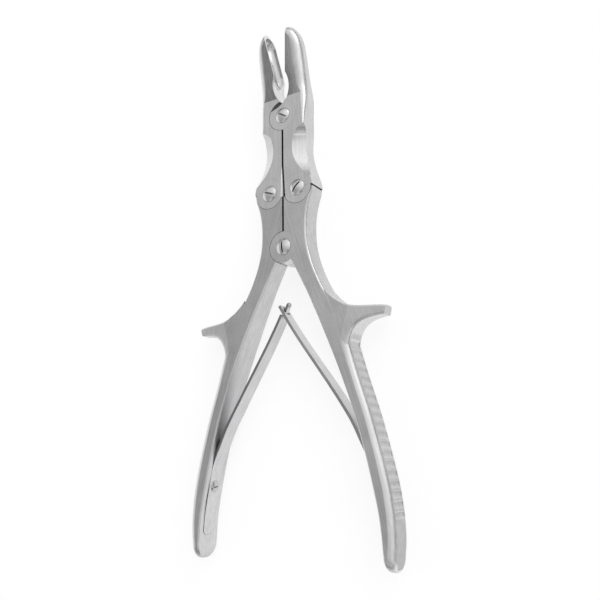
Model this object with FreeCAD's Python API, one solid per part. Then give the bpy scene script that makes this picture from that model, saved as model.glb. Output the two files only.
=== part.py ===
import FreeCAD, Part
import math
import os

# Double-action bone rongeur, lying on its back with the jaws toward +Y and the screw heads toward +Z.
# The main handle pivot is the origin of the plan, and z = 0 is the plane where the lapped halves meet.
# Every half is drawn on the +X side. The left half is the mirror image of a right half.
# All lengths are in millimetres and all angles in degrees.

V = FreeCAD.Vector

# Linkage
jaw_pivot_y = 60.0
link_pivot_x = 7.0
link_pivot_y = 25.0
jaw_opening = 8.5

# Box joint
joint_thickness = 9.5
lug_radius = 6.8
flush_gap = 0.03
pocket_clearance = 0.15
lap_gap = 0.1
slit = 0.9
seam_gap = 0.45

# Pivot screws
shank_radius = 2.1
pivot_clearance = 0.05
open_pivot_clearance = 0.12
head_radius = 3.5
head_height = 1.25
head_gap = 0.05
slot_width = 0.7
slot_depth = 0.9
pivot_slot_turn = {"handle": 93.0, "jaw": -32.0, "left_link": -20.0, "right_link": 48.0}

# Handles
grip_thickness = 12.6
grip_full_y = -52.0
arm_edge_break = 1.0
grip_round_x = 3.3
grip_round_z = 2.5
inner_edge_break = 0.6
handle_end_radius = 6.1
handle_end_steps = (0.3, 0.55, 0.76, 0.9, 0.98)

# Grip grooves
groove_pitch = 3.6
groove_radius = 2.3
groove_depth = 0.45
groove_height = 8.4
groove_start_y = -44.0
groove_count = 19

# Finger horns
horn_top = [(19.5, -21.0), (23.2, -24.9), (28.2, -27.9), (36.0, -29.2), (44.9, -29.9)]
horn_under = [(44.0, -33.4), (38.6, -34.1), (33.6, -36.3), (30.9, -40.2), (30.3, -46.0)]
horn_root = (24.0, -44.0)
horn_taper_x = (26.0, 45.0)
horn_tip_thickness = 5.6
horn_edge_break = 0.7
horn_round_root = 2.6
horn_round_tip = 0.8
horn_row_step = 6.0

# Jaws
jaw_rise = 0.217
jaw_bend_y = 68.6
jaw_bend_length = 5.0
jaw_nose_y = 95.0
jaw_nose = [(0.13, 10.0, 4.6), (0.63, 8.4, 3.4), (0.88, 7.2, 2.3), (0.98, 6.6, 1.5)]
bite_gap = 0.1
cup_radius = 4.1
cup_end_wall = 1.25
jaw_inner_edge_break = 0.3
cup_point_y = 73.0
cup_full_y = 82.0
throat_radius = 11.0
throat_centre = (-6.9, 74.3)

# Hollow facet ground on the front of each jaw's waist
facet_radius = 28.0
facet_y = 44.0
facet_top_y = 49.0
facet_end_radius = 6.0
facet_inner_x = 4.8
facet_outer_x = 10.0
facet_drop = 3.0
facet_cutter_length = 50.0

# Relief beside the slit, where the feet of the jaws swing apart
relief_top_y = 36.5
relief_width = 0.9
relief_depth = 1.6

# Leaf springs
leaf_seat_rows = (-117.0, -107.0, -98.0, -88.0)
leaf_bend = [(33.7, -80.5), (30.9, -74.5), (27.0, -67.9)]
right_blade = [(20.4, -58.2), (9.8, -43.6), (-1.9, -26.0)]
left_blade = [(19.4, -55.7), (10.9, -42.1), (1.9, -26.0)]
leaf_thickness = 1.2
leaf_width = 7.0
leaf_tip_width = 5.6
leaf_seat_depth = 0.95
leaf_corner_radius = 2.2
window_width = 2.8
window_before = 2.4
window_after = 1.3
window_end_bar = 0.7
tongue_width = 2.2
tongue_before = 2.4
tongue_after = 2.3
tongue_knob_radius = 1.15

# Spring screws
spring_screw_y = -97.5
spring_shank_radius = 1.3
spring_shank_length = 5.0
spring_head_radius = 2.5
spring_head_height = 1.1
spring_slot_width = 0.6
spring_slot_depth = 0.5

joint_half = joint_thickness / 2
grip_half = grip_thickness / 2
slit_half = slit / 2
pocket_radius = lug_radius + pocket_clearance
far = 300.0
leaf_steps = 24

# Blanks are lofted this much too thick and then ground flat, and reach this far past the middle plane
flat_allowance = 0.12
middle_allowance = 2.0

# Plan of the right handle: y, inner edge x, outer edge x
handle_plan = [
    (link_pivot_y, 0.1, link_pivot_x + lug_radius + 0.4),
    (20.0, 0.1, 13.2),
    (14.0, 0.1, 11.7),
    (7.0, 0.1, 11.2),
    (1.0, 0.9, 11.5),
    (-5.0, 3.4, 12.7),
    (-12.0, 6.8, 15.1),
    (-19.0, 10.4, 18.4),
    (-26.0, 13.8, 22.4),
    (-34.0, 17.5, 26.4),
    (-42.0, 21.0, 29.6),
    (-50.0, 24.4, 32.0),
    (-58.0, 27.4, 34.4),
    (-68.0, 30.9, 37.6),
    (-78.0, 33.8, 40.4),
    (-88.0, 36.3, 42.9),
    (-98.0, 38.5, 45.0),
    (-107.0, 40.2, 46.1),
    (-115.0, 41.0, 46.3),
    (-118.0, 41.2, 46.1),
    (-120.2, 41.35, 45.8),
]

# Plan of the right jaw: y, outer edge x, width and depth of the rounded bevel beside that edge
jaw_plan = [
    (link_pivot_y, link_pivot_x + lug_radius + 0.4, 0.5, 0.5),
    (30.0, 13.4, 0.5, 0.5),
    (35.0, 11.7, 0.5, 0.5),
    (40.0, 10.5, 0.5, 0.5),
    (46.0, 10.2, 0.5, 0.5),
    (53.0, 10.7, 0.8, 0.7),
    (57.0, 11.0, 1.5, 1.3),
    (62.0, 11.5, 2.4, 1.9),
    (67.0, 11.8, 3.4, 2.4),
    (71.0, 11.7, 4.4, 2.9),
]

# The rest of the jaw's plan up to the nose, with y as the share of the way from the last row above
jaw_tip_plan = [
    (5 / 24, 11.6, 5.3, 3.3),
    (11 / 24, 11.6, 5.6, 3.5),
    (17 / 24, 11.5, 5.5, 3.6),
    (21 / 24, 11.1, 5.2, 3.6),
]


def smooth(value, start, end):
    """Goes from 0 at start to 1 at end with no corner."""
    share = min(max((value - start) / (end - start), 0.0), 1.0)
    return share * share * (3 - 2 * share)


def blend(share, first, second):
    return first + (second - first) * share


def plan_x(plan, y, column):
    """The x in one column of a plan table at any y, on straight lines between its rows."""
    for upper, lower in zip(plan, plan[1:]):
        if min(upper[0], lower[0]) <= y <= max(upper[0], lower[0]):
            return blend((y - upper[0]) / (lower[0] - upper[0]), upper[column], lower[column])
    raise ValueError("y lies outside the plan")


def mirrored(shape):
    return shape.mirror(V(0, 0, 0), V(1, 0, 0))


def plan_prism(points, low, high):
    """A closed polygon in plan, drawn up from z low to z high."""
    corners = [V(x, y, low) for x, y in points]
    face = Part.Face(Part.makePolygon(corners + corners[:1]))
    return face.extrude(V(0, 0, high - low))


def bulged_arc(start, end, outward, bulge=0.16):
    """An arc from start to end that stands off its chord by a share of the chord."""
    middle = (start + end) * 0.5 + outward * (bulge * (end - start).Length)
    return Part.Arc(start, middle, end).toShape()


def slice_wire(y, inner, outer, middle, half, round_x, round_z, edge_break):
    """One cross-section: flat inside, flat front and back, rounded edges beside the flat outside."""
    def corner(x, z):
        return V(x, y, middle + z)

    inside_low, inside_high = corner(inner, edge_break - half), corner(inner, half - edge_break)
    front_in, front_out = corner(inner + edge_break, half), corner(outer - round_x, half)
    side_high, side_low = corner(outer, half - round_z), corner(outer, round_z - half)
    back_out, back_in = corner(outer - round_x, -half), corner(inner + edge_break, -half)
    up_and_out = V(round_z, 0, round_x).normalize()
    down_and_out = V(round_z, 0, -round_x).normalize()
    return Part.Wire([
        Part.makeLine(inside_low, inside_high),
        Part.makeLine(inside_high, front_in),
        Part.makeLine(front_in, front_out),
        bulged_arc(front_out, side_high, up_and_out),
        Part.makeLine(side_high, side_low),
        bulged_arc(side_low, back_out, down_and_out),
        Part.makeLine(back_out, back_in),
        Part.makeLine(back_in, inside_low),
    ])


def layer_cylinder(centre, radius, layer, reach):
    """A disc in the front (+1) or back (-1) lap layer, from the lap gap out to reach."""
    base = V(centre[0], centre[1], layer * lap_gap / 2)
    return Part.makeCylinder(radius, reach - lap_gap / 2, base, V(0, 0, layer))


def pocket_cylinder(centre, layer):
    """The space that the mating lug swings in, cut just past the lap plane."""
    base = V(centre[0], centre[1], -layer * lap_gap / 2)
    return Part.makeCylinder(pocket_radius, far, base, V(0, 0, layer))


def lap(body, centre, layer, hole_radius):
    """Gives a body its half-thickness lug at a pivot and clears the other layer for the mate."""
    body = body.cut(pocket_cylinder(centre, -layer))
    body = body.fuse(layer_cylinder(centre, lug_radius, layer, joint_half - flush_gap))
    hole = Part.makeCylinder(hole_radius, far, V(centre[0], centre[1], -far / 2), V(0, 0, 1))
    return body.cut(hole)


def own_side(body, edge):
    """Keeps what lies outside a plan line, given as points from low y to high y."""
    points = [(-far, edge[0][1])] + edge + [(-far, edge[-1][1])]
    return body.cut(plan_prism(points, -far, far))


# Handles

def handle_half_thickness(y):
    return blend(smooth(-y, 4.0, -grip_full_y), joint_half, grip_half + flat_allowance / 2)


def handle_slice(y, inner, outer, shrink=1.0):
    """A slice of the handle, drawn in toward its own middle where shrink is under 1."""
    share = smooth(-y, 26.0, 46.0)
    middle_x = (inner + outer) / 2
    half_x = blend(shrink, 0.3, 1.0) * (outer - inner) / 2
    half_z = handle_half_thickness(y) * shrink
    return slice_wire(
        y, middle_x - half_x, middle_x + half_x, 0.0, half_z,
        blend(share, arm_edge_break, grip_round_x) * shrink,
        blend(share, arm_edge_break, grip_round_z) * shrink,
        blend(smooth(-y, 2.0, 12.0), 0.05, inner_edge_break) * shrink,
    )


def handle_blank():
    """The arm and grip as one loft, closed by a rounded end."""
    slices = [handle_slice(y, inner, outer) for y, inner, outer in handle_plan]
    end_y, end_inner, end_outer = handle_plan[-1]
    for step in handle_end_steps:
        shrink = math.sqrt(1 - step * step)
        slices.append(handle_slice(end_y - handle_end_radius * step, end_inner, end_outer, shrink))
    flats = Part.makeBox(far, 2 * far, grip_thickness, V(-far / 2, -far, -grip_half))
    return Part.makeLoft(slices, True, False).common(flats)


def spline(points):
    """A smooth curve in plan through the given points."""
    curve = Part.BSplineCurve()
    curve.interpolate([V(x, y, 0) for x, y in points])
    return curve


def horn():
    """The finger horn: a curved plan, tapered toward its tip, with broken edges."""
    ends = [V(x, y, 0) for x, y in (horn_top[-1], horn_under[0], horn_under[-1], horn_root, horn_top[0])]
    outline = Part.Wire([
        spline(horn_top).toShape(),
        Part.makeLine(ends[0], ends[1]),
        spline(horn_under).toShape(),
        Part.makeLine(ends[2], ends[3]),
        Part.makeLine(ends[3], ends[4]),
    ])
    plan = Part.Face(outline).extrude(V(0, 0, far))
    plan.translate(V(0, 0, -far / 2))
    body = plan.common(horn_taper())
    body = body.makeFillet(horn_round_root, horn_round_tip, rim(body, horn_under[-1][0], horn_under[0][0]))
    body = body.makeChamfer(horn_edge_break, rim(body, horn_taper_x[0], horn_top[-1][0]))
    return body.common(handle_profile())


def horn_taper():
    """The space that narrows in z from the root of the horn to its tip."""
    root_x, tip_x = horn_taper_x
    side = [(0, grip_half), (root_x, grip_half), (tip_x, horn_tip_thickness / 2)]
    side += [(x, -z) for x, z in reversed(side)]
    corners = [V(x, 0, z) for x, z in side]
    return Part.Face(Part.makePolygon(corners + corners[:1])).extrude(V(0, -far, 0))


def handle_profile():
    """The space between the handle's front and back, swept across it where the horn grows from it."""
    rows = [horn_top[0][1] + 2 - horn_row_step * number for number in range(6)]
    halves = [handle_half_thickness(y) - flush_gap for y in rows]
    front, back = Part.BSplineCurve(), Part.BSplineCurve()
    front.interpolate([V(0, y, half) for y, half in zip(rows, halves)])
    back.interpolate([V(0, y, -half) for y, half in zip(rows, halves)])
    outline = Part.Wire([
        front.toShape(),
        Part.makeLine(front.EndPoint, back.EndPoint),
        back.toShape(),
        Part.makeLine(back.StartPoint, front.StartPoint),
    ])
    return Part.Face(outline).extrude(V(far, 0, 0))


def rim(body, low_x, high_x):
    """The front and back edges of the horn that run from low_x to high_x."""
    steepest = grip_half - horn_tip_thickness / 2 + 0.1
    return [edge for edge in body.Edges if abs(edge.BoundBox.XMin - low_x) < 0.5
            and abs(edge.BoundBox.XMax - high_x) < 0.5 and 0.1 < edge.BoundBox.ZLength < steepest]


def grip_grooves():
    """Shallow round grooves across the outside of the grip, evenly spaced along its curve."""
    curve = spline([(outer, y) for y, inner, outer in handle_plan])
    start = curve.parameter(V(plan_x(handle_plan, groove_start_y, 2), groove_start_y, 0))
    cutters = []
    for number in range(groove_count):
        travel = curve.parameterAtDistance(number * groove_pitch, start)
        point = curve.value(travel)
        along = curve.tangent(travel)[0]
        outward = V(-along.y, along.x, 0).normalize()
        if outward.x < 0:
            outward = outward.negative()
        centre = point + outward * (groove_radius - groove_depth) - V(0, 0, groove_height / 2)
        cutters.append(Part.makeCylinder(groove_radius, groove_height, centre, V(0, 0, 1)))
    return Part.makeCompound(cutters)


def handle(main_layer, main_hole):
    """One handle with its main lug in the given layer and its link lug at the back."""
    body = handle_blank().fuse(horn())
    body = body.cut(plan_prism([(-far, far), (-far, link_pivot_y - seam_gap / 2),
                                (far, link_pivot_y - seam_gap / 2), (far, far)], -far, far))
    body = lap(body, (link_pivot_x, link_pivot_y), -1, shank_radius)
    body = own_side(body, [(slit_half, -1.0), (slit_half, far)])
    body = lap(body, (0, 0), main_layer, main_hole)
    return body.cut(grip_grooves())


# Jaws

def jaw_middle(y):
    """Height of the jaw's middle, which bends up past the jaw pivot."""
    past_start = y - jaw_bend_y + jaw_bend_length / 2
    if past_start < 0:
        return 0.0
    if past_start < jaw_bend_length:
        return jaw_rise * past_start ** 2 / (2 * jaw_bend_length)
    return jaw_rise * (y - jaw_bend_y)


def jaw_slab():
    """The space between the jaw's flat front and back, with a sharp crease at the bend."""
    tip_rise = jaw_rise * (far - jaw_bend_y)
    front = [V(-far, 0, joint_half), V(-far, jaw_bend_y, joint_half), V(-far, far, joint_half + tip_rise)]
    back = [point - V(0, 0, joint_thickness) for point in reversed(front)]
    corners = front + back
    return Part.Face(Part.makePolygon(corners + corners[:1])).extrude(V(2 * far, 0, 0))


def jaw_end_y():
    return jaw_nose_y + jaw_nose[-1][0] * joint_half


def jaw_blank():
    """The whole jaw as one loft that reaches past the middle plane and is trimmed later."""
    half = joint_half + flat_allowance
    bend_row_y = jaw_plan[-1][0]
    rows = jaw_plan + [(blend(share, bend_row_y, jaw_nose_y), *sizes) for share, *sizes in jaw_tip_plan]
    slices = []
    for y, outer, bevel_x, bevel_z in rows:
        slices.append(slice_wire(
            y, -middle_allowance, outer, jaw_middle(y), half, bevel_x, bevel_z, jaw_inner_edge_break,
        ))
    nose_bevel_z = jaw_tip_plan[-1][3]
    for step, outer, bevel_x in jaw_nose:
        y = jaw_nose_y + step * joint_half
        shrink = math.sqrt(1 - step * step)
        slices.append(slice_wire(
            y, -middle_allowance, outer, jaw_middle(y), joint_half * shrink,
            bevel_x, nose_bevel_z * shrink, jaw_inner_edge_break * shrink,
        ))
    return Part.makeLoft(slices, True, False).common(jaw_slab())


def bite_x(y):
    """Where the open jaw's cutting plane lies, turned about the jaw pivot by the opening angle."""
    turn = math.radians(jaw_opening)
    return math.tan(turn) * (y - jaw_pivot_y) + bite_gap / 2 / math.cos(turn)


def on_middle(y):
    """The point of the open jaw that meets the middle of the instrument when it closes."""
    return V(math.tan(math.radians(jaw_opening)) * (y - jaw_pivot_y), y, jaw_middle(y))


def cup():
    """The scoop: round at the tip, full width along the bite, drawn to a pointed arch at the throat."""
    point = on_middle(cup_point_y)
    along = on_middle(jaw_end_y() - cup_end_wall) - point
    full = (on_middle(cup_full_y) - point).Length
    nose = along.Length - cup_radius
    arch_radius = (full ** 2 + cup_radius ** 2) / (2 * cup_radius)
    arch_turn = math.asin(full / arch_radius) / 2
    arch_middle = V(full - arch_radius * math.sin(arch_turn), cup_radius - arch_radius * (1 - math.cos(arch_turn)), 0)
    nose_middle = V(nose, 0, 0) + V(1, 1, 0).normalize() * cup_radius
    profile = Part.Wire([
        Part.Arc(V(0, 0, 0), arch_middle, V(full, cup_radius, 0)).toShape(),
        Part.makeLine(V(full, cup_radius, 0), V(nose, cup_radius, 0)),
        Part.Arc(V(nose, cup_radius, 0), nose_middle, V(along.Length, 0, 0)).toShape(),
        Part.makeLine(V(along.Length, 0, 0), V(0, 0, 0)),
    ])
    body = Part.Face(profile).revolve(V(0, 0, 0), V(1, 0, 0), 360)
    body.Placement = FreeCAD.Placement(point, FreeCAD.Rotation(V(1, 0, 0), along))
    return body


def throat():
    return Part.makeCylinder(throat_radius, far, V(throat_centre[0], throat_centre[1], -far / 2), V(0, 0, 1))


def waist_facet():
    """A hollow grind that thins the outer edge of the waist and runs out tightly at its upper end."""
    along = V(facet_outer_x - facet_inner_x, 0, -facet_drop).normalize()
    lift = V(facet_drop, 0, facet_outer_x - facet_inner_x).normalize()
    rise_at_top = (facet_top_y - facet_y) ** 2 / (2 * facet_radius)
    below_top = Part.makeBox(far, far, far, V(-far / 2, facet_top_y - far, -far / 2))
    inward = along * (facet_cutter_length / 2)
    main_start = V(facet_inner_x, facet_y, joint_half) + lift * facet_radius - inward
    end_start = V(facet_inner_x, facet_top_y, joint_half) + lift * (facet_end_radius + rise_at_top) - inward
    main = Part.makeCylinder(facet_radius, facet_cutter_length, main_start, along).common(below_top)
    return main.fuse(Part.makeCylinder(facet_end_radius, facet_cutter_length, end_start, along).cut(below_top))


def foot_relief():
    """A long wedge that opens the front of the slit toward the foot of the jaw."""
    margin = 0.2
    wires = []
    for y, width, depth in ((relief_top_y, 0.0, 0.0), (link_pivot_y - lug_radius, relief_width, relief_depth)):
        corners = [
            V(slit_half - margin, y, joint_half + margin),
            V(slit_half + width + margin, y, joint_half + margin),
            V(slit_half - margin, y, joint_half - depth - margin),
        ]
        wires.append(Part.makePolygon(corners + corners[:1]))
    return Part.makeLoft(wires, True, True)


def jaw(jaw_layer, jaw_hole):
    """One jaw with its pivot lug in the given layer and its link lug at the front."""
    body = jaw_blank()
    body = body.cut(plan_prism([(-far, -far), (-far, link_pivot_y + seam_gap / 2),
                                (far, link_pivot_y + seam_gap / 2), (far, -far)], -far, far))
    body = body.cut(waist_facet())
    body = lap(body, (link_pivot_x, link_pivot_y), 1, shank_radius + pivot_clearance)
    turn = math.tan(math.radians(jaw_opening))
    bend_y = jaw_pivot_y + (slit_half - bite_x(jaw_pivot_y)) / turn
    body = own_side(body, [(slit_half, -far), (slit_half, bend_y), (bite_x(200.0), 200.0)])
    body = lap(body, (0, jaw_pivot_y), jaw_layer, jaw_hole)
    return body.cut(foot_relief()).cut(throat()).cut(cup())


# Screws

def domed_screw(shank, shank_length, head, height, slot, depth, turn, gap):
    """A slotted screw along -Z whose head seats at z = 0, with its slot turned in plan."""
    ball = (head ** 2 + height ** 2) / (2 * height)
    dome = Part.makeSphere(ball, V(0, 0, height - ball))
    dome = dome.common(Part.makeCylinder(head, height + 1, V(0, 0, 0)))
    stem = Part.makeCylinder(shank, shank_length + gap, V(0, 0, -shank_length))
    dome.translate(V(0, 0, gap))
    cutter = Part.makeBox(4 * head, slot, depth + 1, V(-2 * head, -slot / 2, height + gap - depth))
    cutter.rotate(V(0, 0, 0), V(0, 0, 1), turn)
    return stem.fuse(dome).cut(cutter)


def pivot_screw(centre, turn):
    screw = domed_screw(shank_radius, joint_thickness, head_radius, head_height, slot_width, slot_depth, turn, head_gap)
    screw.translate(V(centre[0], centre[1], joint_half))
    return screw


# Springs

def leaf_path(blade):
    """Plan of a spring's outer face: along its seat, bent toward the middle, then up to the crossing."""
    seat = [(plan_x(handle_plan, y, 1) + leaf_seat_depth, y) for y in leaf_seat_rows]
    return spline(seat + leaf_bend + blade)


def leaf_frame(curve, travel):
    """A point on a leaf's outer face, the direction along the leaf there and the direction through it."""
    along = curve.tangent(travel)[0]
    return curve.value(travel), along, V(-along.y, along.x, 0)


def leaf_face(blade, offset, overshoot):
    """The leaf's outer face moved inward by offset and run on past the crossing by overshoot."""
    curve = leaf_path(blade)
    points = []
    for step in range(leaf_steps + 1):
        point, along, inward = leaf_frame(curve, blend(step / leaf_steps, curve.FirstParameter, curve.LastParameter))
        points.append(point + inward * offset)
    points.append(points[-1] + along * overshoot)
    face = Part.BSplineCurve()
    face.interpolate(points)
    return face


def leaf_blank(blade, overshoot):
    """The plain leaf: rounded foot corners, full width at the grip and tapered along the blade."""
    outer = leaf_face(blade, 0.0, overshoot)
    inner = leaf_face(blade, leaf_thickness, overshoot)
    face = Part.Face(Part.Wire([
        outer.toShape(),
        Part.makeLine(outer.EndPoint, inner.EndPoint),
        inner.toShape(),
        Part.makeLine(inner.StartPoint, outer.StartPoint),
    ]))
    body = face.extrude(V(0, 0, leaf_width))
    body.translate(V(0, 0, -leaf_width / 2))
    foot = [edge for edge in body.Edges if edge.BoundBox.YMax < leaf_seat_rows[0] + leaf_thickness
            and edge.BoundBox.ZLength < 0.01]
    body = body.makeFillet(leaf_corner_radius, foot)
    taper_y, tip_y = leaf_bend[-1][1], blade[-1][1]
    side = [(-far, leaf_width), (taper_y, leaf_width), (tip_y, leaf_tip_width), (0.0, leaf_tip_width)]
    corners = [V(-far / 2, y, width / 2) for y, width in side]
    corners += [V(-far / 2, y, -width / 2) for y, width in reversed(side)]
    return body.common(Part.Face(Part.makePolygon(corners + corners[:1])).extrude(V(far, 0, 0)))


def tip_box(blade, before, after, width):
    """A box round the blade at the crossing, from before it to after it, width wide in z."""
    curve = leaf_path(blade)
    point, along, inward = leaf_frame(curve, curve.LastParameter)
    box = Part.makeBox(before + after, 20.0, width, V(-before, -10.0, -width / 2))
    box.rotate(V(0, 0, 0), V(0, 0, 1), math.degrees(math.atan2(along.y, along.x)))
    box.translate(point)
    return box


def right_leaf():
    """The leaf whose end has a window for the other leaf's tongue."""
    window = tip_box(right_blade, window_before, window_after, window_width)
    return leaf_blank(right_blade, window_after + window_end_bar).cut(window)


def left_leaf():
    """The leaf that ends in a tongue and knob, still drawn on the right."""
    beyond = 4 * leaf_width
    waste = tip_box(left_blade, tongue_before, beyond, beyond)
    waste = waste.cut(tip_box(left_blade, tongue_before, beyond, tongue_width))
    curve = leaf_path(left_blade)
    point, along, inward = leaf_frame(curve, curve.LastParameter)
    knob = Part.makeSphere(tongue_knob_radius, point + along * tongue_after + inward * (leaf_thickness / 2))
    return leaf_blank(left_blade, tongue_after).cut(waste).fuse(knob)


def spring_screw_frame():
    """Placement of the spring screw: its head seats on the leaf's inner face, its axis through the leaf."""
    curve = leaf_path(right_blade)
    start = V(plan_x(handle_plan, spring_screw_y, 1), spring_screw_y, 0)
    point, along, inward = leaf_frame(curve, curve.parameter(start))
    return point + inward * leaf_thickness, inward


def spring_screw():
    seat, inward = spring_screw_frame()
    screw = domed_screw(
        spring_shank_radius, leaf_thickness + spring_shank_length, spring_head_radius, spring_head_height,
        spring_slot_width, spring_slot_depth, 0.0, 0.0,
    )
    turn = FreeCAD.Rotation(V(0, 0, 1), inward)
    screw.Placement = FreeCAD.Placement(seat, turn)
    return screw


def spring_hole():
    seat, inward = spring_screw_frame()
    start = seat + inward
    return Part.makeCylinder(spring_shank_radius, leaf_thickness + spring_shank_length + 1, start, inward.negative())


def build():
    hole = spring_hole()
    right_spring = right_leaf().cut(hole)
    left_spring = left_leaf().cut(hole)
    right_handle = handle(1, shank_radius + pivot_clearance).cut(leaf_blank(right_blade, window_after)).cut(hole)
    left_handle = handle(-1, shank_radius).cut(leaf_blank(left_blade, window_after)).cut(hole)
    right_jaw = jaw(1, shank_radius + open_pivot_clearance)
    left_jaw = jaw(-1, shank_radius)
    screw = spring_screw()
    return {
        "left_handle": mirrored(left_handle),
        "right_handle": right_handle,
        "left_jaw": mirrored(left_jaw),
        "right_jaw": right_jaw,
        "handle_pivot_screw": pivot_screw((0, 0), pivot_slot_turn["handle"]),
        "jaw_pivot_screw": pivot_screw((0, jaw_pivot_y), pivot_slot_turn["jaw"]),
        "left_link_screw": pivot_screw((-link_pivot_x, link_pivot_y), pivot_slot_turn["left_link"]),
        "right_link_screw": pivot_screw((link_pivot_x, link_pivot_y), pivot_slot_turn["right_link"]),
        "left_spring": mirrored(left_spring),
        "right_spring": right_spring,
        "left_spring_screw": mirrored(screw),
        "right_spring_screw": screw.copy(),
    }


# The finished instrument rests on its grips' flat backs, centred on its outline
handle_end_y = handle_plan[-1][0] - handle_end_radius * handle_end_steps[-1]
rest_shift = V(0, -(jaw_end_y() + handle_end_y) / 2, grip_half)
os.makedirs("parts", exist_ok=True)
for name, shape in build().items():
    solids = shape.Solids
    print(name, "solids", len(solids), "valid", shape.isValid(), "volume", round(shape.Volume, 1))
    solid = solids[0] if len(solids) == 1 else Part.makeCompound(solids)
    solid.translate(rest_shift)
    solid.exportStep("parts/" + name + ".step")
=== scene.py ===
import math
import bmesh
import bpy
from mathutils import Matrix, Vector


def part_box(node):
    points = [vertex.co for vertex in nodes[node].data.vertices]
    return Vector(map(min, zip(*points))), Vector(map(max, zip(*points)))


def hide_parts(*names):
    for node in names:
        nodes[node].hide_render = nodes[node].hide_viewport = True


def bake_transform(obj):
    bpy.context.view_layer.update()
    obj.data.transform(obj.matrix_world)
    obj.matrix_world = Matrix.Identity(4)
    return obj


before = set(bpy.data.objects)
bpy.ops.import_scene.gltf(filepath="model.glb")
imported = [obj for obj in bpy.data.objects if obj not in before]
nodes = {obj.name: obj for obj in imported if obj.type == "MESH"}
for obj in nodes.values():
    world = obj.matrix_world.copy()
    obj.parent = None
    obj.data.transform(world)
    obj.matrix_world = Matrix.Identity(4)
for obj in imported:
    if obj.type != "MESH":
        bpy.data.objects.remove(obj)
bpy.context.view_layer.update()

# Bone rongeur on a pale floor. All lengths are in metres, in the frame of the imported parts:
# +Y toward the jaws, +X toward the right handle, +Z toward the screw heads.

MM = 0.001
WHITE = (1.0, 1.0, 1.0, 1.0)


def node_centre(name):
    low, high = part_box(name)
    return (Vector(low) + Vector(high)) / 2


pivots = {
    "handle": node_centre("handle_pivot_screw"),
    "jaw": node_centre("jaw_pivot_screw"),
    "left_link": node_centre("left_link_screw"),
    "right_link": node_centre("right_link_screw"),
}
handle_pivot = pivots["handle"]
lap_plane_z = 6.3 * MM


# Camera, matched to the photograph

camera_from_handle_pivot = Vector((152.34, -86.21, 241.02)) * MM
camera_right = Vector((0.8518, -0.0118, -0.5237))
camera_up = Vector((0.1249, 0.9755, 0.1811))
camera_back = Vector((0.5087, -0.2196, 0.8324))
lens_mm = 42.0
sensor_mm = 36.0
nearest_seen = 10 * MM


def make_camera():
    data = bpy.data.cameras.new("camera")
    data.lens = lens_mm
    data.sensor_width = sensor_mm
    data.clip_start = nearest_seen
    camera = bpy.data.objects.new("camera", data)
    origin = Vector((handle_pivot.x, handle_pivot.y, lap_plane_z))
    turn = Matrix((camera_right, camera_up, camera_back)).transposed().to_4x4()
    camera.matrix_world = Matrix.Translation(origin + camera_from_handle_pivot) @ turn
    bpy.context.scene.collection.objects.link(camera)
    bpy.context.scene.camera = camera


# Node helpers

class Nodes:
    """A short way to add shader nodes to one material or world and link them."""

    def __init__(self, owner):
        owner.use_nodes = True
        self.tree = owner.node_tree
        self.tree.nodes.clear()

    def put(self, node, socket, value):
        """Links another node's output to an input, or gives the input a plain value."""
        target = node.inputs[socket]
        if isinstance(value, bpy.types.NodeSocket):
            self.tree.links.new(value, target)
        else:
            target.default_value = value

    def add(self, kind, settings=None, **inputs):
        """A new node. An input's name has _ where Blender's has a space."""
        node = self.tree.nodes.new(kind)
        for name, value in (settings or {}).items():
            setattr(node, name, value)
        for name, value in inputs.items():
            self.put(node, name.replace("_", " "), value)
        return node

    def add_listed(self, kind, settings, *values):
        """A new node, with its inputs filled from the first one on."""
        node = self.add(kind, settings)
        for number, value in enumerate(values):
            self.put(node, number, value)
        return node

    def output(self, kind, shader):
        out = self.add(kind)
        self.put(out, "Surface", shader.outputs[0])

    def coordinate(self, name):
        return self.add("ShaderNodeTexCoord").outputs[name]

    def axis(self, vector, letter):
        return self.add("ShaderNodeSeparateXYZ", Vector=vector).outputs[letter]

    def dot(self, vector, direction):
        node = self.add_listed("ShaderNodeVectorMath", {"operation": "DOT_PRODUCT"}, vector, direction)
        return node.outputs["Value"]

    def noise(self, vector, scale, detail, roughness):
        node = self.add("ShaderNodeTexNoise", Vector=vector, Scale=scale, Detail=detail, Roughness=roughness)
        return node.outputs[0]

    def remap(self, value, low, high, to_low, to_high):
        """A smooth step from to_low to to_high while the value goes from low to high."""
        settings = {"interpolation_type": "SMOOTHSTEP"}
        return self.add_listed("ShaderNodeMapRange", settings, value, low, high, to_low, to_high).outputs[0]

    def math(self, operation, *values):
        return self.add_listed("ShaderNodeMath", {"operation": operation}, *values).outputs[0]

    def chain(self, operation, first, *others):
        for other in others:
            first = self.math(operation, first, other)
        return first

    def total(self, *values):
        return self.chain("ADD", *values)

    def product(self, *values):
        return self.chain("MULTIPLY", *values)

    def largest(self, *values):
        return self.chain("MAXIMUM", *values)

    def minus(self, value, less):
        return self.math("SUBTRACT", value, less)

    def size_of(self, value):
        return self.math("ABSOLUTE", value)


# Sky: the strengths of its parts, and the X, Y or Z of a unit direction over which two of them blend

sky_strength = 0.86
band_strength = 0.14
band_height = (0.08, 0.34)
left_share = 0.60
left_right = (-0.60, 0.55)
near_share = 0.71
far_share = 1.10
near_far = (-0.20, 0.60)
left_glow = 0.80
left_glow_edge = (-0.90, -0.70)

# Soft round cards in the sky: direction, inner and outer angle in degrees, and factor on the strength
sky_cards = {
    "over_waist_facet": ((0.41, -0.54, 0.73), 9.0, 22.0, 0.50),
    "beside_grips": ((0.81, 0.33, 0.48), 12.0, 28.0, 1.20),
    "beside_inner_edges": ((0.74, -0.36, 0.53), 8.0, 22.0, 1.50),
    "below_horns": ((-0.25, -0.80, 0.54), 10.0, 24.0, 1.60),
}


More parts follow.
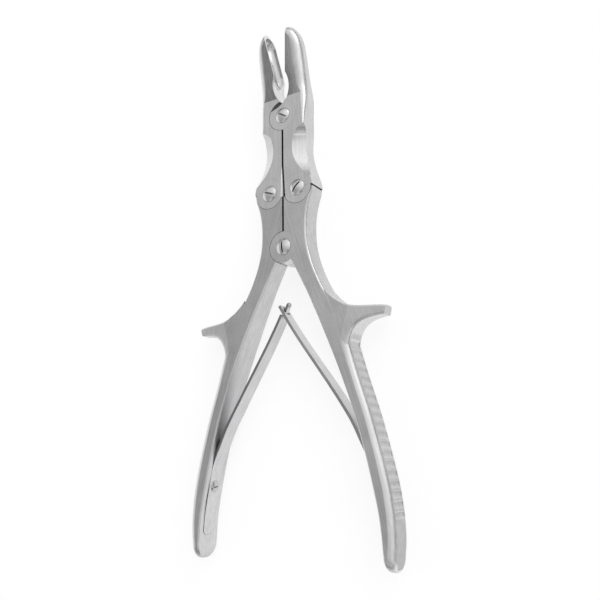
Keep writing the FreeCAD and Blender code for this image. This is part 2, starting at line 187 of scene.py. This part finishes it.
def sky_card(net, way, direction, inner, outer, factor):
    """The factor inside the card's inner angle and 1 past its outer angle."""
    toward = net.dot(way, Vector(direction).normalized())
    return net.remap(toward, math.cos(math.radians(outer)), math.cos(math.radians(inner)), 1.0, factor)


def make_world():
    """White to the camera. Metal sees a dark band at the horizon, a dimmer left and a few cards."""
    world = bpy.data.worlds.new("studio")
    bpy.context.scene.world = world
    net = Nodes(world)
    generated = net.coordinate("Generated")
    way = net.add_listed("ShaderNodeVectorMath", {"operation": "NORMALIZE"}, generated).outputs["Vector"]
    sideways, along, height = (net.axis(way, letter) for letter in "XYZ")
    strength = net.product(
        net.remap(height, *band_height, band_strength, sky_strength),
        net.remap(sideways, *left_right, left_share, 1.0),
        net.remap(along, *near_far, near_share, far_share),
        *(sky_card(net, way, *card) for card in sky_cards.values()),
    )
    glow = net.remap(sideways, *left_glow_edge, left_glow, 0.0)
    to_camera = net.add("ShaderNodeLightPath").outputs["Is Camera Ray"]
    seen = net.largest(strength, glow, to_camera)
    net.output("ShaderNodeOutputWorld", net.add("ShaderNodeBackground", Color=WHITE, Strength=seen))


# Floor and light

floor_size = 6.0
floor_glow = 0.78
floor_grey = 0.36
softbox_place = Vector((0.48, 0.62, 0.32))
softbox_width = 0.42
softbox_height = 0.26
softbox_watts = 0.55


def make_softbox():
    """A rectangular soft light beside the object, which also shows in the metal."""
    data = bpy.data.lights.new("side_softbox", "AREA")
    data.shape = "RECTANGLE"
    data.size = softbox_width
    data.size_y = softbox_height
    data.energy = softbox_watts
    light = bpy.data.objects.new("side_softbox", data)
    light.location = softbox_place
    light.rotation_euler = (-softbox_place).to_track_quat("-Z", "Y").to_euler()
    bpy.context.scene.collection.objects.link(light)


def floor_material():
    """A matte floor that also glows to the camera and in the metal, so that it looks white there."""
    material = bpy.data.materials.new("floor")
    net = Nodes(material)
    matte = net.add("ShaderNodeBsdfDiffuse", Color=(floor_grey, floor_grey, floor_grey, 1.0))
    rays = net.add("ShaderNodeLightPath").outputs
    direct = net.largest(rays["Is Camera Ray"], rays["Is Glossy Ray"], rays["Is Transmission Ray"])
    glow = net.add("ShaderNodeEmission", Color=WHITE, Strength=net.product(direct, floor_glow))
    both = net.add_listed("ShaderNodeAddShader", None, matte.outputs[0], glow.outputs[0])
    net.output("ShaderNodeOutputMaterial", both)
    return material


def make_floor():
    """A pale floor that takes the object's soft shadow."""
    half = floor_size / 2
    corners = [(-half, -half, 0), (half, -half, 0), (half, half, 0), (-half, half, 0)]
    mesh = bpy.data.meshes.new("floor")
    mesh.from_pydata(corners, [], [(0, 1, 2, 3)])
    mesh.materials.append(floor_material())
    floor = bpy.data.objects.new("floor", mesh)
    bpy.context.scene.collection.objects.link(floor)


# Steel: where a point lies and which way its face looks. Each mask is 1 there and 0 elsewhere.

lug_radius = 6.8 * MM
head_radius = 3.5 * MM
handle_lean = math.radians(17.0)
grip_top_y = handle_pivot.y - 42.5 * MM
relief_top_y = handle_pivot.y + 36.5 * MM
arm_light_y = handle_pivot.y - 8.0 * MM
seam_half = 0.225 * MM

short_fade = 2 * MM
grip_fade = 14 * MM
front_edge = (0.80, 0.97)
outward_edge = (0.72, 0.80)


def outward(side):
    """The direction away from the other handle. Side is +1 right, -1 left."""
    return Vector((side * math.cos(handle_lean), math.sin(handle_lean), 0.0))


def along_handle(side):
    """The direction along a handle, toward the jaws."""
    return Vector((-side * math.sin(handle_lean), math.cos(handle_lean), 0.0))


def front_facing(net):
    """A face that looks to the front."""
    return net.remap(net.axis(net.coordinate("Normal"), "Z"), *front_edge, 0.0, 1.0)


def below(net, place, y, fade):
    """Nearer the grips than y."""
    return net.remap(net.axis(place, "Y"), y - fade, y, 1.0, 0.0)


def distance_from_axis(net, place, centre):
    """Distance from an upright axis through the centre."""
    flat = net.add_listed("ShaderNodeVectorMath", {"operation": "MULTIPLY"}, place, (1.0, 1.0, 0.0))
    foot = (centre.x, centre.y, 0.0)
    away = net.add_listed("ShaderNodeVectorMath", {"operation": "DISTANCE"}, flat.outputs[0], foot)
    return away.outputs["Value"]


# Steel: marks round the pivots and along the seam of handle and jaw, as light added or taken away

ring_pitch = 0.62 * MM
ring_light = 0.045
rings_fade_from = 0.86 * lug_radius
line_width = 0.15 * MM
line_core = 0.3 * line_width
line_dark = 0.13
head_line_radius = 1.06 * head_radius
seam_fade = (1.2 * seam_half, 2.4 * seam_half)
seam_from_lug = 0.95 * lug_radius
seam_dark = 0.55


def circle_line(net, distance, radius):
    """A thin circle of the given radius."""
    off = net.size_of(net.minus(distance, radius))
    return net.remap(off, line_core, line_width, 1.0, 0.0)


def turning_marks(net, place, centres):
    """Faint turned rings on the lug round each pivot, and a dark line at its edge and at the screw head."""
    marks = 0.0
    for centre in centres:
        distance = distance_from_axis(net, place, centre)
        wave = net.math("SINE", net.product(distance, 2 * math.pi / ring_pitch))
        rings = net.product(wave, net.remap(distance, rings_fade_from, lug_radius, ring_light, 0.0))
        lines = net.total(*(circle_line(net, distance, radius) for radius in (lug_radius, head_line_radius)))
        marks = net.total(marks, net.minus(rings, net.product(lines, line_dark)))
    return net.product(marks, front_facing(net))


def seam_shade(net, place, link):
    """Darkens the thin seam between handle and jaw, outside the link screw."""
    off = net.size_of(net.minus(net.axis(place, "Y"), link.y))
    near = net.remap(off, *seam_fade, 1.0, 0.0)
    across = net.size_of(net.axis(place, "X"))
    past_lug = net.remap(across, abs(link.x) + seam_from_lug, abs(link.x) + lug_radius, 0.0, seam_dark)
    return net.product(near, past_lug)


# Steel: what only handles, only jaws or only leaf springs show. Each details function gives the painted
# light or shade added, the least share of light that the painted crevice shade keeps and the roughness
# added.

# Painted light and shade of the grips, and the floor under the painted crevice shade on the arms.
groove_slope = 0.5
groove_light = 0.07
ledge_depth = 2 * MM
ledge_above_grip = 6 * MM
ledge_light = 0.25
band_highlight = 0.18
band_edge = (0.05, 0.30)
arm_light_fade = 4 * MM
arm_least_light = 0.62
grip_extra_roughness = 0.11

# Painted shade on the bent fronts of the jaws.
bend_lean = (0.07, 0.17)
bevel_edge_right = (0.74, 0.965)
bevel_edge_left = (0.90, 0.965)
right_front_across = (3.5 * MM, 9.0 * MM)
right_front_share = 0.45
jaw_front_shade = 0.37

# Painted light on the left jaw's wall of the slit.
wall_edge = (0.2, 0.5)
slit_across = (2 * MM, 3 * MM)
relief_fade = 1 * MM
slit_wall_light = 0.35

leaf_edge_shade_left = 0.30
leaf_edge_shade_right = 0.15


def groove_shade(net, place, side):
    """Paints light on one wall of each grip groove and paints shade on the other."""
    slope = net.dot(net.coordinate("Normal"), along_handle(side))
    shade = net.remap(slope, -groove_slope, groove_slope, -groove_light, groove_light)
    return net.product(shade, below(net, place, grip_top_y, short_fade))


def rounded_band(net, place, side):
    """The rounded band between the front of a grip and its grooved side, where a painted highlight goes."""
    share = net.dot(net.coordinate("Normal"), outward(side))
    band = net.product(net.remap(share, *band_edge, 0.0, 1.0), net.remap(share, *outward_edge, 1.0, 0.0))
    return net.product(band, below(net, place, grip_top_y, grip_fade))


def groove_ledge(net, place):
    """The small ledges where the grip grooves end near the back, which get painted light and no painted
    crevice shade.
    """
    low = net.remap(net.axis(place, "Z"), lap_plane_z - ledge_depth, lap_plane_z, 1.0, 0.0)
    return net.product(low, front_facing(net), below(net, place, grip_top_y + ledge_above_grip, short_fade))


def handle_details(net, place, side):
    """Painted light and shade on the grip's grooves, rounded band and ledges, and lighter painted crevice
    shade on the arm.
    """
    ledge = groove_ledge(net, place)
    light = net.total(
        groove_shade(net, place, side),
        # Painted highlight on the rounded band.
        net.product(rounded_band(net, place, side), band_highlight),
        net.product(ledge, ledge_light),
    )
    # On the arm the painted crevice shade keeps at least this share of light.
    arm_lit_share = net.product(below(net, place, arm_light_y, arm_light_fade), arm_least_light)
    on_grip = below(net, place, grip_top_y, grip_fade)
    return light, net.largest(ledge, arm_lit_share), net.product(on_grip, grip_extra_roughness)


def bent_front_shade_mask(net, place, side):
    """Where painted shade goes on the front of a bent jaw, fading out over the bevel beside it.

    On the right the fade is softer, and the front also gets lighter away from its inner edge, as the painted
    shade fades.
    """
    normal = net.coordinate("Normal")
    leaning_back = net.remap(net.product(net.axis(normal, "Y"), -1.0), *bend_lean, 0.0, 1.0)
    bevel_edge = bevel_edge_right if side > 0 else bevel_edge_left
    front = net.product(leaning_back, net.remap(net.axis(normal, "Z"), *bevel_edge, 0.0, 1.0))
    if side < 0:
        return front
    return net.product(front, net.remap(net.axis(place, "X"), *right_front_across, 1.0, right_front_share))


def lit_slit_wall(net, place):
    """Where painted light goes: the left jaw's wall of the slit, which faces right, below the relief beside
    the jaw's foot.
    """
    facing_right = net.remap(net.axis(net.coordinate("Normal"), "X"), *wall_edge, 0.0, 1.0)
    at_slit = net.remap(net.size_of(net.axis(place, "X")), *slit_across, 1.0, 0.0)
    return net.product(facing_right, at_slit, below(net, place, relief_top_y, relief_fade))


def jaw_details(net, place, side):
    """Painted shade on the bent front, and on the left jaw painted light on its wall of the slit."""
    light = net.product(bent_front_shade_mask(net, place, side), -jaw_front_shade)
    if side > 0:
        return light, 0.0, 0.0
    # Painted light on the wall of the slit, which also gets no painted crevice shade.
    lit = lit_slit_wall(net, place)
    return net.total(light, net.product(lit, slit_wall_light)), lit, 0.0


def leaf_details(net, place, side):
    """Painted shade on the thin edge of a leaf, which faces the front, so that it is darker than its flat.
    """
    edge_shade = leaf_edge_shade_right if side > 0 else leaf_edge_shade_left
    return net.product(front_facing(net), -edge_shade), 0.0, 0.0


# Steel: the material. Each noise has its scale per metre, its detail and its roughness. A reach is how far a
# noise goes from its middle, and _rough and _tone are what it adds there to the roughness and the tone.

fine_noise = (9000.0, 4.0, 0.65)
broad_noise = (1400.0, 3.0, 0.55)
cloud_noise = (90.0, 3.0, 0.5)
streak_stretch = 0.03
fine_reach = 0.20
broad_reach = 0.25
cloud_reach = 0.20
cloud_rough_reach = 0.15
fine_rough = (-0.05, 0.06)
cloud_rough = (-0.03, 0.03)
fine_tone = (-0.025, 0.025)
broad_tone = (-0.05, 0.05)
cloud_tone = (-0.03, 0.03)
usual_edge = 0.16 * MM
outward_shade = 0.14
# Painted crevice shade: how far the ambient occlusion looks, the occlusion over which it darkens, and the
# share of light left in the deepest crevice.
crevice_shade_reach = 1.3 * MM
crevice_shade_edge = (0.3, 0.8)
deepest_crevice_light = 0.10
ray_samples = {"samples": 8}
bump_strength = 0.12
bump_height = 0.02 * MM
fine_height = 0.6
broad_height = 1.6
blue_share = 1.012


def spread(net, noise, reach, low, high):
    """A noise spread from low to high over its reach on each side of its middle."""
    middle = 0.5
    return net.remap(noise, middle - reach, middle + reach, low, high)


def streaks(net, place, turn):
    """Two layers of noise stretched along the part, for fine and broad polishing streaks."""
    turned = net.add("ShaderNodeMapping", Vector=place, Rotation=(0.0, 0.0, turn)).outputs[0]
    along = net.add("ShaderNodeMapping", Vector=turned, Scale=(1.0, streak_stretch, 1.0)).outputs[0]
    return net.noise(along, *fine_noise), net.noise(along, *broad_noise)


def steel_roughness(net, fine, cloud, roughness):
    return net.total(
        roughness,
        spread(net, fine, fine_reach, *fine_rough),
        spread(net, cloud, cloud_rough_reach, *cloud_rough),
    )


def steel_tone(net, fine, broad, cloud, tone):
    return net.total(
        tone,
        spread(net, broad, broad_reach, *broad_tone),
        spread(net, fine, fine_reach, *fine_tone),
        spread(net, cloud, cloud_reach, *cloud_tone),
    )


def joint_marks(net, place, side, centres):
    """Marks of a handle or jaw at its two pivots, and painted shade on its outward side."""
    facing_outward = net.dot(net.coordinate("Normal"), outward(side))
    # Painted shade on the faces that look outward.
    outward_painted_shade = net.remap(facing_outward, *outward_edge, 0.0, outward_shade)
    seam = seam_shade(net, place, centres[1])
    return net.minus(net.minus(turning_marks(net, place, centres), outward_painted_shade), seam)


def brushed_normal(net, fine, broad, depth, edge):
    """Fine relief of the streaks, over softened edges."""
    height = net.total(net.product(fine, fine_height), net.product(broad, broad_height))
    soft_edge = net.add("ShaderNodeBevel", ray_samples, Radius=edge).outputs[0]
    bump = net.add("ShaderNodeBump", Strength=bump_strength * depth, Distance=bump_height, Height=height,
                   Normal=soft_edge)
    return bump.outputs[0]


def steel(name, tone, roughness, side=0, details=None, centres=(), turn=0.0, depth=1.0, edge=usual_edge):
    """Satin stainless steel with fine polishing streaks that run along the part."""
    material = bpy.data.materials.new(name)
    net = Nodes(material)
    place = net.coordinate("Object")
    fine, broad = streaks(net, place, turn)
    cloud = net.noise(place, *cloud_noise)
    rough = steel_roughness(net, fine, cloud, roughness)
    value = steel_tone(net, fine, broad, cloud, tone)
    # Painted shade: ambient occlusion darkens the colour in crevices, in recesses and between parts.
    crevice = net.add("ShaderNodeAmbientOcclusion", ray_samples, Distance=crevice_shade_reach).outputs["AO"]
    lit_share = net.remap(crevice, *crevice_shade_edge, deepest_crevice_light, 1.0)
    if centres:
        value = net.total(value, joint_marks(net, place, side, centres))
    if details:
        light, least_lit_share, extra_roughness = details(net, place, side)
        value = net.total(value, light)
        lit_share = net.largest(lit_share, least_lit_share)
        rough = net.total(rough, extra_roughness)
    value = net.product(value, lit_share)
    colour = net.add("ShaderNodeCombineColor", Red=value, Green=value, Blue=net.product(value, blue_share))
    shader = net.add("ShaderNodeBsdfPrincipled", Metallic=1.0, Base_Color=colour.outputs[0], Roughness=rough,
                     Normal=brushed_normal(net, fine, broad, depth, edge))
    net.output("ShaderNodeOutputMaterial", shader)
    return material


# Steel: the finish of each piece

sides = {"left": -1, "right": 1}
# The left handle gets a lower tone than the right one: painted shade on the left handle.
handle_tone = {"left": 0.62, "right": 0.70}
handle_roughness = 0.27
jaw_tone = 0.77
jaw_roughness = 0.28
jaw_edge = 0.05 * MM
screw_edge = 0.10 * MM
screw_streak_depth = 0.5
pivot_screw_tone, pivot_screw_roughness = 0.80, 0.15
spring_screw_tone, spring_screw_roughness = 0.52, 0.20


def local(name, *points):
    """Points of the frame in one node's own space."""
    to_node = nodes[name].matrix_world.inverted()
    return [to_node @ point for point in points]


def dress(name, material):
    """Gives a CAD node one material all over."""
    mesh = nodes[name].data
    mesh.materials.clear()
    mesh.materials.append(material)


def dress_handle(word, side):
    name = word + "_handle"
    centres = local(name, handle_pivot, pivots[word + "_link"])
    dress(name, steel(name + "_steel", handle_tone[word], handle_roughness, side, handle_details, centres,
                      turn=-side * handle_lean))


def dress_jaw(word, side):
    name = word + "_jaw"
    centres = local(name, pivots["jaw"], pivots[word + "_link"])
    dress(name, steel(name + "_steel", jaw_tone, jaw_roughness, side, jaw_details, centres, edge=jaw_edge))


def screw_steel(name, tone, roughness):
    return steel(name, tone, roughness, depth=screw_streak_depth, edge=screw_edge)


def dress_screws():
    polished = screw_steel("pivot_screw_steel", pivot_screw_tone, pivot_screw_roughness)
    dull = screw_steel("spring_screw_steel", spring_screw_tone, spring_screw_roughness)
    for name in nodes:
        if name.endswith("screw"):
            dress(name, dull if "spring" in name else polished)


# Leaf springs, as finer meshes between the two handles

leaf_row_step = 2.0 * MM
leaf_tone = 0.63
leaf_roughness = 0.24
leaf_lean = 1.5 * handle_lean


def leaf_piece(name):
    """A copy of a leaf's mesh, cut into short rows."""
    node = nodes[name]
    rows = bmesh.new()
    rows.from_mesh(node.data)
    rows.transform(node.matrix_world)
    low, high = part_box(name)
    y = low[1] + leaf_row_step
    while y < high[1]:
        everything = list(rows.verts) + list(rows.edges) + list(rows.faces)
        bmesh.ops.bisect_plane(rows, geom=everything, plane_co=(0, y, 0), plane_no=(0, 1, 0))
        y += leaf_row_step
    mesh = bpy.data.meshes.new(name + "_leaf")
    rows.to_mesh(mesh)
    rows.free()
    piece = bpy.data.objects.new(name + "_leaf", mesh)
    bpy.context.scene.collection.objects.link(piece)
    return piece


def make_leaf(word, side):
    """One leaf, from its seat on its own grip to the crossing."""
    name = word + "_spring"
    piece = leaf_piece(name)
    piece.data.materials.append(steel(name + "_steel", leaf_tone, leaf_roughness, side, leaf_details,
                                      turn=-side * leaf_lean))
    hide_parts(name)
    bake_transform(piece)


def make_scene():
    bpy.context.scene.view_settings.view_transform = "Standard"
    make_camera()
    make_world()
    make_floor()
    make_softbox()
    for word, side in sides.items():
        dress_handle(word, side)
        dress_jaw(word, side)
    dress_screws()
    make_leaf("left", sides["left"])
    make_leaf("right", sides["right"])


make_scene()
